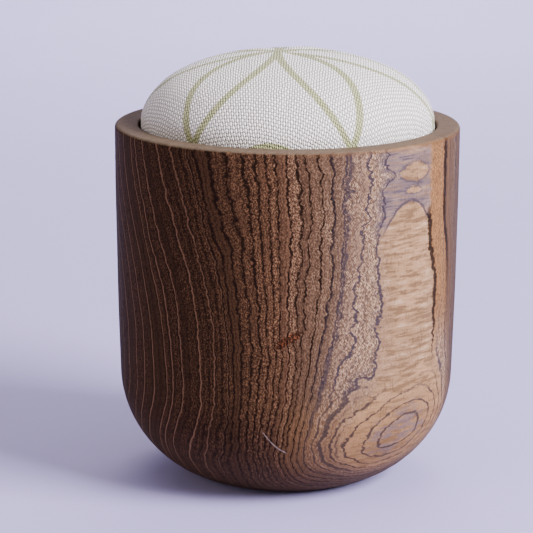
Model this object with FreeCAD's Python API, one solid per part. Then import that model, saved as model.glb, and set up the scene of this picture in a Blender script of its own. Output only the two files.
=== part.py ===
"""A turned wooden pin cushion: a thick walled cup with a stuffed, cloth covered cushion that lifts out.

Millimetres, +Z up. The origin is the centre of the felt foot, on the surface that the cup stands on.
Every sub-part is written to parts/NODE.step in the place where it sits when the pin cushion is whole.
"""

import FreeCAD
import Part
import math
import os

# Cup, outside
RIM_RADIUS = 40.0
RIM_HEIGHT = 83.2
RIM_EDGE_RADIUS = 0.8
WALL_BOW_RADIUS = 1960.0  # the wall is very slightly bowed, and upright at the rim
CORNER_RADIUS = 26.4  # the round between the wall and the foot
CORNER_CENTRE_HEIGHT = 25.4

# Cup, inside
MOUTH_RADIUS = 34.6
MOUTH_EDGE_RADIUS = 0.5
SEAT_HEIGHT = 70.0  # the ledge that the cushion rests on
WELL_RADIUS = 30.0
WELL_LIP_RADIUS = 0.4
WELL_FLOOR = 9.0
WELL_CORNER_RADIUS = 8.0

# Felt foot, let into the underside of the cup
FELT_RADIUS = 17.0
FELT_THICKNESS = 1.4
FELT_PROUD = 0.4
FELT_ROOM = 0.2
FELT_EDGE = 0.3

# Cushion, outside: half an ellipse above the rim, an upright side below it
CUSHION_RADIUS = 34.3
DOME_CENTRE_HEIGHT = RIM_HEIGHT + 1.2
DOME_RISE = 15.6
SIDE_RADIUS = 33.8
SIDE_TOP = 80.6
SEAT_CLEARANCE = 0.1
UNDERSIDE = SEAT_HEIGHT + SEAT_CLEARANCE

# Layers of the cushion, from the cloth inwards
CLOTH = 0.6
WADDING = 2.5
LAYER_GAP = 0.05
BOARD_RADIUS = 32.0
BOARD_THICKNESS = 4.0
BOARD_CHAMFER = 0.6
BOARD_BOTTOM = UNDERSIDE + CLOTH
BOARD_TOP = BOARD_BOTTOM + BOARD_THICKNESS

# The cloth's gathered edge under the board
TURN_RADIUS = 1.6  # where the cloth rolls from the side to the underside
GATHER_START = 29.4
GATHER_END = 19.0
GATHER_DROP = 1.2  # how much deeper the bunched cloth is at its edge than at the seat
GATHER_NOSE = 1.0

# Gathering thread, a drawn ring with its knot and two cut tails
THREAD_RADIUS = 0.4
THREAD_RING_RADIUS = 22.4
THREAD_ROOM = 0.06
TAIL_RADIUS = 0.32
KNOT_RADIUS = 0.95
TAIL_LENGTH = 5.0
TAIL_SPREAD = 24.0  # degrees each side of the radius

# Felt disc that hides the raw edge of the cloth
BACKING_RADIUS = 20.6
BACKING_THICKNESS = 1.2
BACKING_DISH_RADIUS = 17.6
BACKING_SLOPE_END = 18.7

AXIS_POINT = FreeCAD.Vector(0, 0, 0)
AXIS = FreeCAD.Vector(0, 0, 1)


def at(radius, height):
    """A point of a half section, in the XZ plane."""
    return FreeCAD.Vector(radius, 0, height)


def line(a, b):
    return Part.LineSegment(a, b).toShape()


def round_corner(centre, radius, start_deg, end_deg):
    """An arc of a half section, from one direction to another, in degrees up from +X."""
    middle_deg = (start_deg + end_deg) / 2
    points = [
        centre + at(radius * math.cos(math.radians(d)), radius * math.sin(math.radians(d)))
        for d in (start_deg, middle_deg, end_deg)
    ]
    return Part.Arc(*points).toShape()


def arc_between(centre, start, end):
    """An arc about centre from start to end, the short way."""
    middle = (start - centre) + (end - centre)
    middle.normalize()
    return Part.Arc(start, centre + middle * (start - centre).Length, end).toShape()


def elliptic_quarter(centre, half_width, rise):
    """The quarter of an ellipse from its right end up to its top, as a spline that STEP keeps whole."""
    ellipse = Part.Ellipse(centre + at(half_width, 0), centre + at(0, rise), centre)
    return Part.ArcOfEllipse(ellipse, 0, math.pi / 2).toBSpline().toShape()


def polygon(points):
    return [line(a, b) for a, b in zip(points, points[1:])]


def turned(edges):
    """The solid that a closed half section makes when it is turned about the axis."""
    wire = Part.Wire(Part.__sortEdges__(edges))
    return Part.Face(wire).revolve(AXIS_POINT, AXIS, 360)


def cup_outside():
    """Edges of the cup's outer line, from the foot's edge up to the start of the flat rim."""
    upright = RIM_HEIGHT - RIM_EDGE_RADIUS
    wall_centre = at(RIM_RADIUS - WALL_BOW_RADIUS, upright)
    drop = upright - CORNER_CENTRE_HEIGHT
    reach = math.sqrt((WALL_BOW_RADIUS - CORNER_RADIUS) ** 2 - drop**2)
    corner_centre = at(wall_centre.x + reach, CORNER_CENTRE_HEIGHT)
    outward = corner_centre - wall_centre
    outward.normalize()
    join = corner_centre + outward * CORNER_RADIUS
    foot_height = CORNER_CENTRE_HEIGHT - FELT_PROUD
    foot_radius = corner_centre.x + math.sqrt(CORNER_RADIUS**2 - foot_height**2)
    foot_edge = at(foot_radius, FELT_PROUD)
    rim_edge_centre = at(RIM_RADIUS - RIM_EDGE_RADIUS, upright)
    edges = [
        arc_between(corner_centre, foot_edge, join),
        arc_between(wall_centre, join, at(RIM_RADIUS, upright)),
        round_corner(rim_edge_centre, RIM_EDGE_RADIUS, 0, 90),
    ]
    return edges, foot_edge


def cup_inside():
    """Edges from the flat rim down through the mouth, the seat and the well, to the axis."""
    mouth_edge = at(MOUTH_RADIUS + MOUTH_EDGE_RADIUS, RIM_HEIGHT - MOUTH_EDGE_RADIUS)
    lip_centre = at(WELL_RADIUS + WELL_LIP_RADIUS, SEAT_HEIGHT - WELL_LIP_RADIUS)
    well_corner = at(WELL_RADIUS - WELL_CORNER_RADIUS, WELL_FLOOR + WELL_CORNER_RADIUS)
    return [
        round_corner(mouth_edge, MOUTH_EDGE_RADIUS, 90, 180),
        line(at(MOUTH_RADIUS, mouth_edge.z), at(MOUTH_RADIUS, SEAT_HEIGHT)),
        line(at(MOUTH_RADIUS, SEAT_HEIGHT), at(lip_centre.x, SEAT_HEIGHT)),
        round_corner(lip_centre, WELL_LIP_RADIUS, 90, 180),
        line(at(WELL_RADIUS, lip_centre.z), at(WELL_RADIUS, well_corner.z)),
        round_corner(well_corner, WELL_CORNER_RADIUS, 0, -90),
        line(at(well_corner.x, WELL_FLOOR), at(0, WELL_FLOOR)),
    ]


def turned_cup():
    outside, foot_edge = cup_outside()
    recess_radius = FELT_RADIUS + FELT_ROOM
    flat_rim = line(
        at(RIM_RADIUS - RIM_EDGE_RADIUS, RIM_HEIGHT),
        at(MOUTH_RADIUS + MOUTH_EDGE_RADIUS, RIM_HEIGHT),
    )
    underside = polygon([
        at(0, WELL_FLOOR),
        at(0, FELT_THICKNESS),
        at(recess_radius, FELT_THICKNESS),
        at(recess_radius, FELT_PROUD),
        foot_edge,
    ])
    return turned(outside + [flat_rim] + cup_inside() + underside)


def foot_felt():
    return turned(polygon([
        at(0, 0),
        at(FELT_RADIUS - FELT_EDGE, 0),
        at(FELT_RADIUS, FELT_EDGE),
        at(FELT_RADIUS, FELT_THICKNESS),
        at(0, FELT_THICKNESS),
        at(0, 0),
    ]))


def dome_and_side(inset):
    """The cushion's outer line moved inwards by inset, from the top down to the upright side's top."""
    centre = at(0, DOME_CENTRE_HEIGHT)
    half_width = CUSHION_RADIUS - inset
    shoulder = at(half_width, DOME_CENTRE_HEIGHT)
    neck = at(SIDE_RADIUS - inset, SIDE_TOP)
    # An arc that leaves the ellipse upright and ends at the neck.
    narrowing, fall = shoulder.x - neck.x, shoulder.z - neck.z
    radius = (narrowing**2 + fall**2) / (2 * narrowing)
    edges = [
        elliptic_quarter(centre, half_width, DOME_RISE - inset),
        arc_between(shoulder - at(radius, 0), shoulder, neck),
    ]
    return edges, centre + at(0, DOME_RISE - inset), neck


def base_board():
    return turned(polygon([
        at(0, BOARD_BOTTOM + LAYER_GAP),
        at(BOARD_RADIUS - BOARD_CHAMFER, BOARD_BOTTOM + LAYER_GAP),
        at(BOARD_RADIUS, BOARD_BOTTOM + BOARD_CHAMFER),
        at(BOARD_RADIUS, BOARD_TOP - BOARD_CHAMFER),
        at(BOARD_RADIUS - BOARD_CHAMFER, BOARD_TOP),
        at(0, BOARD_TOP),
        at(0, BOARD_BOTTOM + LAYER_GAP),
    ]))


def stuffing():
    """The packed filling, which stands on the board and fills the wadding."""
    edges, top, neck = dome_and_side(CLOTH + WADDING + 2 * LAYER_GAP)
    floor = BOARD_TOP + LAYER_GAP
    edges += polygon([neck, at(neck.x, floor), at(0, floor), top])
    return turned(edges)


def wadding():
    """The soft layer between the filling and the cloth, drawn down thin over the board's edge."""
    outer, outer_top, outer_neck = dome_and_side(CLOTH + LAYER_GAP)
    inner, inner_top, inner_neck = dome_and_side(CLOTH + WADDING + LAYER_GAP)
    board_side = BOARD_RADIUS + LAYER_GAP
    edges = outer + polygon([
        outer_neck,
        at(outer_neck.x, BOARD_BOTTOM + TURN_RADIUS),
        at(board_side, BOARD_BOTTOM + BOARD_CHAMFER),
        at(board_side, BOARD_TOP + LAYER_GAP),
        at(inner_neck.x, BOARD_TOP + LAYER_GAP),
        inner_neck,
    ])
    return turned(edges + inner + [line(inner_top, outer_top)])


def thread_groove_height():
    """The height of the gathered cloth's underside at the thread."""
    share = (GATHER_START - THREAD_RING_RADIUS) / (GATHER_START - GATHER_END)
    return UNDERSIDE - GATHER_DROP * share


def cushion_cover():
    """The cloth: dome, side, the roll under the board and the gathered edge, which is thicker."""
    outer, outer_top, outer_neck = dome_and_side(0)
    inner, inner_top, inner_neck = dome_and_side(CLOTH)
    turn_centre = at(SIDE_RADIUS - TURN_RADIUS, UNDERSIDE + TURN_RADIUS)
    groove = THREAD_RADIUS + THREAD_ROOM
    groove_height = thread_groove_height()
    edge_height = UNDERSIDE - GATHER_DROP
    nose_centre = at(GATHER_END + GATHER_NOSE, edge_height + GATHER_NOSE)
    groove_out = at(THREAD_RING_RADIUS + groove, groove_height)
    groove_in = at(THREAD_RING_RADIUS - groove, groove_height)
    edges = outer + inner + [
        line(outer_neck, at(SIDE_RADIUS, turn_centre.z)),
        round_corner(turn_centre, TURN_RADIUS, 0, -90),
        line(at(turn_centre.x, UNDERSIDE), at(GATHER_START, UNDERSIDE)),
        line(at(GATHER_START, UNDERSIDE), groove_out),
        round_corner(at(THREAD_RING_RADIUS, groove_height), groove, 0, 180),
        line(groove_in, at(nose_centre.x, edge_height)),
        round_corner(nose_centre, GATHER_NOSE, -90, -180),
    ]
    edges += polygon([
        at(GATHER_END, nose_centre.z),
        at(GATHER_END, BOARD_BOTTOM),
        at(BOARD_RADIUS - BOARD_CHAMFER, BOARD_BOTTOM),
        at(inner_neck.x, BOARD_BOTTOM + TURN_RADIUS - LAYER_GAP),
        inner_neck,
    ])
    return turned(edges + [line(inner_top, outer_top)])


def gathering_thread():
    """The drawn ring, the knot and two tails that lie outwards under the gathered cloth."""
    height = thread_groove_height()
    ring = Part.makeTorus(THREAD_RING_RADIUS, THREAD_RADIUS, FreeCAD.Vector(0, 0, height), AXIS)
    knot_place = FreeCAD.Vector(THREAD_RING_RADIUS + KNOT_RADIUS, 0, height - KNOT_RADIUS)
    thread = ring.fuse(Part.makeSphere(KNOT_RADIUS, knot_place))
    for side in (-1, 1):
        angle = math.radians(side * TAIL_SPREAD)
        along = FreeCAD.Vector(math.cos(angle), math.sin(angle), 0)
        tail = Part.makeCylinder(TAIL_RADIUS, TAIL_LENGTH, knot_place, along)
        thread = thread.fuse(tail)
    return thread.removeSplitter().Solids[0]


def underside_felt():
    """A dished disc: its middle is on the board and its edge lies over the cloth's raw edge."""
    edge_top = UNDERSIDE - GATHER_DROP - LAYER_GAP
    board = BOARD_BOTTOM
    down = FreeCAD.Vector(0, 0, -BACKING_THICKNESS)
    upper = [
        at(0, board),
        at(BACKING_DISH_RADIUS, board),
        at(BACKING_SLOPE_END, edge_top),
        at(BACKING_RADIUS, edge_top),
    ]
    lower = [point + down for point in reversed(upper)]
    return turned(polygon(upper + lower + [upper[0]]))


SUB_PARTS = {
    "turned_cup": turned_cup,
    "foot_felt": foot_felt,
    "base_board": base_board,
    "stuffing": stuffing,
    "wadding": wadding,
    "cushion_cover": cushion_cover,
    "gathering_thread": gathering_thread,
    "underside_felt": underside_felt,
}


def main():
    os.makedirs("parts", exist_ok=True)
    for name, make in SUB_PARTS.items():
        shape = make()
        if not shape.isValid() or shape.Volume <= 0:
            raise ValueError(name + " is not a sound solid")
        shape.exportStep("parts/" + name + ".step")
        box = shape.optimalBoundingBox()
        print(name, shape.ShapeType, len(shape.Solids), "solid", round(shape.Volume, 1), "mm3",
              [round(v, 2) for v in (box.XMin, box.XMax, box.ZMin, box.ZMax)])


main()
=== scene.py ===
"""The looks of a turned wooden pin cushion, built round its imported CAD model."""

import bisect
import math

import bmesh
import bpy
from mathutils import Matrix, Vector, noise


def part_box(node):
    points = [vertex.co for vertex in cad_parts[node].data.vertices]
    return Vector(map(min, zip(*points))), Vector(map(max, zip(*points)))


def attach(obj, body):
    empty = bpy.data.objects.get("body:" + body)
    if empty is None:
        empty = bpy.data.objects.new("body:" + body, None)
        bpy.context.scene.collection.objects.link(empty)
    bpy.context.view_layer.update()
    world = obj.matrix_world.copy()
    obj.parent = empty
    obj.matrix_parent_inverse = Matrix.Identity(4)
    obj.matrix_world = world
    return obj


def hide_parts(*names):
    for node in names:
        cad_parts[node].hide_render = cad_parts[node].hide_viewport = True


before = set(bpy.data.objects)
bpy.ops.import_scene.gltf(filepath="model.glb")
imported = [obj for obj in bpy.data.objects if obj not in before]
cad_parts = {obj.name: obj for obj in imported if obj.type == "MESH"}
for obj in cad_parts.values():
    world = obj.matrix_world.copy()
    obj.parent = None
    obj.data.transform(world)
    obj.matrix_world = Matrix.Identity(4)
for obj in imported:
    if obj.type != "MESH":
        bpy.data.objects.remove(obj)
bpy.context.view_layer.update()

MM = 0.001
FULL_TURN = 2 * math.pi

CUP_LOW, CUP_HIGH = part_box("turned_cup")
_, COVER_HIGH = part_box("cushion_cover")
BOARD_LOW, BOARD_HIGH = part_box("base_board")
STUFFING_LOW, STUFFING_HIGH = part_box("stuffing")
_, WADDING_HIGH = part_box("wadding")
FOOT_LOW, FOOT_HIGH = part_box("foot_felt")
FELT_LOW, FELT_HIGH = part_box("underside_felt")
THREAD_LOW, THREAD_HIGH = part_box("gathering_thread")

RIM_RADIUS = CUP_HIGH.x
RIM_HEIGHT = CUP_HIGH.z
COVER_RADIUS = COVER_HIGH.x
SEAT_HEIGHT = BOARD_LOW.z - 0.75 * MM  # the ledge in the cup that the cushion stands on

# The cup's section, apart from what the frame gives
RIM_EDGE = 0.8 * MM
MOUTH_EDGE = 0.6 * MM
MOUTH_RADIUS = 34.6 * MM
WELL_RADIUS = 30.0 * MM
WELL_LIP = 0.4 * MM
WELL_FLOOR = 9.0 * MM
WELL_CORNER = 8.0 * MM
WALL_BOW = 1960 * MM
CORNER_RADIUS = 26.4 * MM
CORNER_HEIGHT = 25.4 * MM
FOOT_RECESS = FOOT_HIGH.x + 0.2 * MM

# The cushion's section
WIDEST_HEIGHT = RIM_HEIGHT + 1.2 * MM
NECK_RADIUS = 33.8 * MM
NECK_HEIGHT = RIM_HEIGHT - 2.6 * MM
TURN_RADIUS = 1.6 * MM
CLOTH = 0.6 * MM
GATHER_START = 29.4 * MM
GATHER_DROP = 1.2 * MM
COVER_UNDERSIDE = SEAT_HEIGHT + 0.1 * MM
COVER_HEM = FELT_HIGH.x - 1.2 * MM
THREAD_RING = 22.4 * MM
THREAD_RADIUS = 0.4 * MM


# ---- camera, light and floor

CAMERA_DISTANCE = 14 * RIM_RADIUS
CAMERA_ELEVATION = math.radians(9.62)
CAMERA_YAW = math.radians(-0.49)
CAMERA_PITCH = math.radians(13.05)
CAMERA_ROLL = math.radians(0.24)
CAMERA_LENS = 162.7


def make_camera():
    """A long lens that looks down a little at the rim, with the object low and right of centre."""
    camera = bpy.data.objects.new("camera", bpy.data.cameras.new("camera"))
    camera.data.lens = CAMERA_LENS
    camera.data.clip_start = 0.01
    along = CAMERA_DISTANCE * math.cos(CAMERA_ELEVATION)
    height = RIM_HEIGHT + CAMERA_DISTANCE * math.sin(CAMERA_ELEVATION)
    level = math.cos(CAMERA_PITCH)
    forward = Vector((math.sin(CAMERA_YAW) * level, math.cos(CAMERA_YAW) * level, -math.sin(CAMERA_PITCH)))
    right = forward.cross(Vector((0, 0, 1))).normalized()
    up = right.cross(forward)
    turn = Matrix((right, up, -forward)).transposed() @ Matrix.Rotation(CAMERA_ROLL, 3, "Z")
    camera.matrix_world = Matrix.Translation((0, -along, height)) @ turn.to_4x4()
    bpy.context.scene.collection.objects.link(camera)
    bpy.context.scene.camera = camera


def make_light(name, place, size, power, colour, aim):
    """A square area light that faces the point aim."""
    light = bpy.data.lights.new(name, "AREA")
    light.size = size
    light.energy = power
    light.color = colour
    holder = bpy.data.objects.new(name, light)
    holder.location = place
    holder.rotation_euler = (Vector(aim) - Vector(place)).to_track_quat("-Z", "Y").to_euler()
    bpy.context.scene.collection.objects.link(holder)
    return light


# Each lamp's name, place, size, power and colour
LAMPS = [
    ("window", (0.66, -0.39, 0.53), 0.45, 36.5, (1.0, 0.985, 1.02)),
    ("sky", (-0.1, 0.1, 0.95), 0.9, 4.0, (0.97, 0.96, 1.0)),
    ("bounce", (-0.7, -0.5, 0.35), 0.6, 3.2, (1.0, 0.86, 0.72)),
]
BACKDROP_LAMP = ("backdrop", (0.1, 1.1, 0.75), 0.9, 11.5, (0.96, 0.93, 1.0))
BACKDROP_AIM = (0, 0.95, 0)
BACKDROP_SPREAD = math.radians(95)
ROOM_COLOUR = (0.86, 0.815, 0.86)
ROOM_STRENGTH = 0.48


def make_studio():
    """A window at the right, a soft sky and bounce light, and a lamp for the far end of the table."""
    for lamp in LAMPS:
        make_light(*lamp, aim=(0, 0, RIM_HEIGHT * 0.7))
    make_light(*BACKDROP_LAMP, aim=BACKDROP_AIM).spread = BACKDROP_SPREAD
    world = bpy.data.worlds.new("room")
    world.use_nodes = True
    background = world.node_tree.nodes["Background"]
    background.inputs["Color"].default_value = rgba(ROOM_COLOUR)
    background.inputs["Strength"].default_value = ROOM_STRENGTH
    bpy.context.scene.world = world


def make_floor():
    """A pale table that bends up into a pale wall a long way behind."""
    front, depth, rise, bend, half_width = -1.2, 1.6, 1.6, 0.5, 2.5
    line = [(front, 0.0)] + arc(depth - bend, bend, bend, -90, 0, 12) + [(depth, rise)]
    points = [(side, y, z) for y, z in line for side in (-half_width, half_width)]
    faces = [(2 * i, 2 * i + 1, 2 * i + 3, 2 * i + 2) for i in range(len(line) - 1)]
    floor = mesh_object("floor", points, faces, floor_material())


# ---- meshes

def mesh_object(name, points, faces, material):
    mesh = bpy.data.meshes.new(name)
    mesh.from_pydata([tuple(p) for p in points], [], faces)
    mesh.polygons.foreach_set("use_smooth", [True] * len(mesh.polygons))
    mesh.materials.append(material)
    mesh.update()
    piece = bpy.data.objects.new(name, mesh)
    bpy.context.scene.collection.objects.link(piece)
    return piece


def arc(centre_r, centre_z, radius, start_deg, end_deg, steps):
    """Points of a half section along an arc, as (radius, height)."""
    angles = [math.radians(start_deg + (end_deg - start_deg) * i / steps) for i in range(steps + 1)]
    return [(centre_r + radius * math.cos(a), centre_z + radius * math.sin(a)) for a in angles]


def quarter_oval(radius, top, steps):
    """A dome's half section, from its top down to where it is widest."""
    angles = [math.pi / 2 * step / steps for step in range(steps + 1)]
    return [(radius * math.sin(a), WIDEST_HEIGHT + (top - WIDEST_HEIGHT) * math.cos(a)) for a in angles]


def disc_section(radius, low, high, edge):
    """The half section of a flat disc with rounded edges."""
    section = [(0, low)]
    section += arc(radius - edge, low + edge, edge, -90, 0, 4)
    section += arc(radius - edge, high - edge, edge, 0, 90, 4)
    return section + [(0, high)]


def divided(points, longest):
    """The same line with its runs cut up, so that none is longer than longest."""
    result = [points[0]]
    for (r0, z0), (r1, z1) in zip(points, points[1:]):
        length = math.hypot(r1 - r0, z1 - z0)
        if length < 1e-7:
            continue
        cuts = max(1, math.ceil(length / longest))
        result += [(r0 + (r1 - r0) * i / cuts, z0 + (z1 - z0) * i / cuts) for i in range(1, cuts + 1)]
    return result


def around(radius, angle, z):
    """The point at an angle round the axis."""
    return Vector((radius * math.cos(angle), radius * math.sin(angle), z))


def band(low, high, count):
    """Faces between two rings of count points, which start at the points low and high."""
    return [(low + i, low + (i + 1) % count, high + (i + 1) % count, high + i) for i in range(count)]


def lathe(name, section, segments, shift, material):
    """A closed turned solid. The section runs from the axis round to the axis.

    shift(point, outward) gives the place of a point that stood at point on the plain solid.
    """
    rings = section[1:-1]
    points = [Vector((0, 0, section[0][1]))]
    outwards = [Vector((0, 0, 0))]
    for index, (r, z) in enumerate(rings):
        before, after = section[index], section[index + 2]
        slope = Vector((after[1] - before[1], before[0] - after[0])).normalized()
        for step in range(segments):
            angle = FULL_TURN * step / segments
            points.append(around(r, angle, z))
            outwards.append(around(slope.x, angle, slope.y))
    points.append(Vector((0, 0, section[-1][1])))
    outwards.append(Vector((0, 0, 0)))
    points = [shift(p, n) for p, n in zip(points, outwards)]
    faces = [(0, 1 + (i + 1) % segments, 1 + i) for i in range(segments)]
    for low in range(1, 1 + (len(rings) - 1) * segments, segments):
        faces += band(low, low + segments, segments)
    last = len(points) - 1
    base = last - segments
    faces += [(base + i, base + (i + 1) % segments, last) for i in range(segments)]
    piece = mesh_object(name, points, faces, material)
    fix_normals(piece)
    return piece


def fix_normals(piece):
    """Turns every face outwards."""
    shape = bmesh.new()
    shape.from_mesh(piece.data)
    bmesh.ops.recalc_face_normals(shape, faces=shape.faces)
    shape.to_mesh(piece.data)
    shape.free()


def direction(path, index, closed):
    """Which way a path runs at one of its points."""
    before = path[index - 1] if closed or index else path[0]
    after = path[(index + 1) % len(path)] if closed or index < len(path) - 1 else path[-1]
    return (after - before).normalized()


def tube(path, radius, sides, closed):
    """Points and faces of a round tube along a path, with flat ends where it is open."""
    points, faces = [], []
    count = len(path)
    side = Vector((0, 0, 1))
    for index, centre in enumerate(path):
        along = direction(path, index, closed)
        side = (side - along * side.dot(along)).normalized()
        other = along.cross(side)
        for step in range(sides):
            angle = FULL_TURN * step / sides
            points.append(centre + (side * math.cos(angle) + other * math.sin(angle)) * radius)
    spans = count if closed else count - 1
    for index in range(spans):
        faces += band(index * sides, (index + 1) % count * sides, sides)
    if not closed:
        faces.append(tuple(reversed(range(sides))))
        faces.append(tuple(range((count - 1) * sides, count * sides)))
    return points, faces


def joined(name, shapes, material):
    """One object from several lists of points and faces."""
    points, faces = [], []
    for more_points, more_faces in shapes:
        start = len(points)
        points += more_points
        faces += [tuple(start + i for i in face) for face in more_faces]
    piece = mesh_object(name, points, faces, material)
    fix_normals(piece)
    return piece


def smooth_step(low, high, value):
    share = min(max((value - low) / (high - low), 0.0), 1.0)
    return share * share * (3 - 2 * share)


# ---- materials

class Term:
    """A node's output that arithmetic can be written with."""

    def __init__(self, graph, socket):
        self.graph = graph
        self.socket = socket

    def __add__(self, other):
        return self.graph.math("ADD", self, other)

    __radd__ = __add__

    def __sub__(self, other):
        return self.graph.math("SUBTRACT", self, other)

    def __rsub__(self, other):
        return self.graph.math("SUBTRACT", other, self)

    def __mul__(self, other):
        return self.graph.math("MULTIPLY", self, other)

    __rmul__ = __mul__

    def __truediv__(self, other):
        return self.graph.math("DIVIDE", self, other)

    def __abs__(self):
        return self.graph.math("ABSOLUTE", self)


class Graph:
    """A material whose node tree is written as arithmetic."""

    def __init__(self, name):
        self.material = bpy.data.materials.new(name)
        self.material.use_nodes = True
        self.tree = self.material.node_tree
        self.shader = self.tree.nodes["Principled BSDF"]

    def plug(self, socket, value):
        if isinstance(value, Term):
            self.tree.links.new(value.socket, socket)
        else:
            socket.default_value = value

    def node(self, kind, inputs, output=0, **settings):
        made = self.tree.nodes.new(kind)
        for key, value in settings.items():
            setattr(made, key, value)
        for key, value in inputs.items():
            self.plug(made.inputs[key], value)
        return Term(self, made.outputs[output])

    def math(self, operation, *values):
        return self.node("ShaderNodeMath", dict(enumerate(values)), operation=operation)

    def place(self):
        """The point in the shared frame, in millimetres."""
        local = self.node("ShaderNodeTexCoord", {}, "Object")
        return self.node("ShaderNodeVectorMath", {0: local, "Scale": 1000}, operation="SCALE")

    def split(self, vector):
        parts = self.tree.nodes.new("ShaderNodeSeparateXYZ")
        self.plug(parts.inputs[0], vector)
        return [Term(self, output) for output in parts.outputs]

    def vector(self, x, y, z=0.0):
        return self.node("ShaderNodeCombineXYZ", {0: x, 1: y, 2: z})

    def stretched(self, vector, x, y, z):
        return self.node("ShaderNodeVectorMath", {0: vector, 1: (x, y, z)}, operation="MULTIPLY")

    def noise(self, vector, scale, detail=2.0, roughness=0.5):
        inputs = {"Vector": vector, "Scale": scale, "Detail": detail, "Roughness": roughness}
        return self.node("ShaderNodeTexNoise", inputs)

    def bands(self, w, feature, output, randomness=0.85):
        """Uneven bands along w: how far it is to a band's edge, or a colour per band."""
        inputs = {"W": w, "Scale": 1.0, "Randomness": randomness}
        return self.node("ShaderNodeTexVoronoi", inputs, output, voronoi_dimensions="1D", feature=feature)

    def step(self, value, low, high, out_low=0.0, out_high=1.0):
        """Goes smoothly from out_low to out_high as value goes from low to high."""
        inputs = {"Value": value, 1: low, 2: high, 3: out_low, 4: out_high}
        return self.node("ShaderNodeMapRange", inputs, interpolation_type="SMOOTHSTEP")

    def mix(self, share, first, second):
        made = self.tree.nodes.new("ShaderNodeMix")
        made.data_type = "RGBA"
        for index, value in ((0, share), (6, first), (7, second)):
            self.plug(made.inputs[index], rgba(value) if index else value)
        return Term(self, made.outputs[2])

    def ramp(self, value, stops):
        """The colour that stands at value in a list of (value, colour)."""
        made = self.tree.nodes.new("ShaderNodeValToRGB")
        while len(made.color_ramp.elements) < len(stops):
            made.color_ramp.elements.new(0.5)
        start, end = stops[0][0], stops[-1][0]
        for element, (place, colour) in zip(made.color_ramp.elements, stops):
            element.position = (place - start) / (end - start)
            element.color = rgba(colour)
        self.plug(made.inputs[0], (value - start) / (end - start))
        return Term(self, made.outputs[0])

    def finish(self, colour, roughness, height, depth, **constants):
        """Wires the shader. height is in units of depth; constants are set on the shader itself."""
        self.plug(self.shader.inputs["Base Color"], colour)
        self.plug(self.shader.inputs["Roughness"], roughness)
        for key, value in constants.items():
            self.shader.inputs[key.replace("_", " ")].default_value = value
        bump = self.node("ShaderNodeBump", {"Height": height, "Distance": depth, "Strength": 1.0})
        self.plug(self.shader.inputs["Normal"], bump)
        return self.material


def turned(a, b, angle):
    """a and b as measured along axes that are turned by angle."""
    return a * math.cos(angle) + b * math.sin(angle), b * math.cos(angle) - a * math.sin(angle)


def rgba(value):
    return value if isinstance(value, Term) else (*value[:3], 1.0)


def floor_material():
    g = Graph("table_paint")
    p = g.place()
    tint = g.noise(p, 0.012, 3)
    colour = g.mix(tint, (0.316, 0.281, 0.505), (0.338, 0.301, 0.541))
    return g.finish(colour, g.noise(p, 0.4) * 0.1 + 0.55, g.noise(p, 1.5, 4), 0.02 * MM)


# The cup's wood, in millimetres. Its rings are upright sheets that face RING_TURN forward of X
RING_TURN = math.radians(42.5)
BLACK_LINE = (0.0070, 0.0036, 0.0028)
NAVY_LINE = (0.027, 0.021, 0.029)
TAN_LINE = (0.190, 0.102, 0.058)
SOFT_LINE = (0.036, 0.024, 0.022)
RIM_WOOD = (0.116, 0.084, 0.060)
ORANGE_WOOD = (0.094, 0.045, 0.021)
BRIGHT_ORANGE = (0.30, 0.138, 0.047)
# A painted reflection of the table, mixed into the wood near the foot
FOOT_REFLECTION_TINT = (0.20, 0.125, 0.085)
SMOKY_WOOD = (0.090, 0.068, 0.082)
KNOT_WOOD = (0.24, 0.118, 0.047)
GLOSS_TINT = (1.0, 0.74, 0.52, 1.0)

# Colours of the wood and of its bright flecks, by its age
HEARTWOOD = [
    (-30, (0.0255, 0.0140, 0.0070)), (-5, (0.0295, 0.0152, 0.0073)), (10, (0.034, 0.0170, 0.0088)),
    (20, (0.044, 0.0215, 0.0115)), (26, (0.079, 0.037, 0.0205)), (29, (0.087, 0.043, 0.0255)),
    (33, (0.108, 0.059, 0.0365)), (36.3, (0.142, 0.081, 0.053)), (38.2, (0.175, 0.103, 0.064)),
    (39.2, (0.240, 0.135, 0.072)), (42.5, (0.228, 0.126, 0.067)), (46, (0.155, 0.086, 0.049)),
    (49, (0.12, 0.065, 0.038)),
]
FLECKS = [
    (-30, (0.080, 0.038, 0.0190)), (10, (0.112, 0.053, 0.0260)), (19, (0.130, 0.062, 0.031)),
    (25, (0.205, 0.103, 0.054)), (30, (0.25, 0.145, 0.087)), (38, (0.355, 0.236, 0.160)),
    (49, (0.37, 0.245, 0.162)),
]

# Families of lines along the rings: spacing, half width on the surface, offset and raggedness
INK = (1.50, 0.25, 0.35, 1.0)
THIN = (0.62, 0.13, 7.1, 1.0)
BOLD = (2.3, 0.40, 5.2, 1.3)
WIDE = (6.5, 0.25, 1.7, 1.0)
TAN = (3.4, 0.19, 3.4, 0.4)
TAN_EDGE = (3.4, 0.17, 3.4, 0.4)
TAN_EDGE_SHIFT = 0.32

# Where the pale wood ends: lines on the cup's right, by their place along the direction (x + y)
PALE_BORDER_HIGH, PALE_BORDER_LOW = 5.6, 8.8
OUTER_LINE_HIGH, OUTER_LINE_LOW = 12.3, 15.0
ARCH_TOP = 70.3
ARCH_MIDDLE = -1.5
LARGE_EYE = (0.2, 77.1, 4.8, 2.1)
SMALL_EYE = (0.0, 73.0, 2.6, 0.75)

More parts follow.
